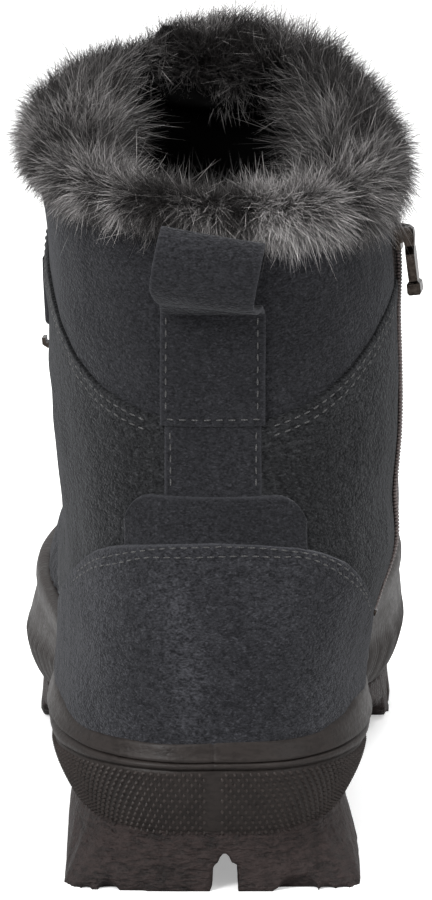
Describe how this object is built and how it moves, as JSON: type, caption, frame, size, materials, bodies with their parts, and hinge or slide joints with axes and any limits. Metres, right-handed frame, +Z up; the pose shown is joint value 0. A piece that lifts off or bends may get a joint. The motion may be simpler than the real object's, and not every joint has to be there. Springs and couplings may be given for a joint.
{
  "type": "winter ankle boot",
  "caption": "Suede winter ankle boot for the left foot with a fur cuff, laced front, side zip with a swinging pull, heel loop and a chunky rubber sole.",
  "frame": {"origin": "on the ground under the middle of the boot's bounding box", "axes": "+Y towards the toe, +Z up, +X towards the inner (big toe) side of the left foot"},
  "size_m": [0.1015, 0.278, 0.1929],
  "materials": {
    "suede": "napped suede, slate grey",
    "fur": "long faux fur, dark grey with silvery tips",
    "rubber": "matt to satin moulded rubber, brown-black",
    "zip_textile": "woven tape with a plastic coil, black",
    "dark_metal": "gunmetal with worn bronze edges",
    "lace": "braided cord, dark grey",
    "felt": "wool felt, dark grey"
  },
  "bodies": {
    "boot": {"outsole": "rubber", "sidewall": "rubber", "insole": "felt", "upper": "suede", "heel_counter": "suede", "pull_loop": "suede", "side_tab": "suede", "side_hook": "dark_metal", "fur_cuff": "fur", "tongue": "suede", "tongue_fur": "fur", "zip_tape": "zip_textile", "zip_slider": "dark_metal", "lace_loop_1_medial": "dark_metal", "lace_loop_1_lateral": "dark_metal", "lace_loop_2_medial": "dark_metal", "lace_loop_2_lateral": "dark_metal", "lace_loop_3_medial": "dark_metal", "lace_loop_3_lateral": "dark_metal", "lace_hook_4_medial": "dark_metal", "lace_hook_4_lateral": "dark_metal", "lace_hook_5_medial": "dark_metal", "lace_hook_5_lateral": "dark_metal", "lace_bar": "lace", "lace_cross_1": "lace", "lace_cross_2": "lace", "lace_cross_3": "lace", "lace_cross_4": "lace"},
    "pull": {"zip_pull": "dark_metal"}
  },
  "joints": [
    {"name": "zip_pull_hinge", "type": "hinge", "parent": "boot", "child": "pull", "pos_m": [0.04659, -0.08031, 0.15205], "axis": [-0.1342, -0.9909, 0], "range_deg": [0, 115]}
  ]
}
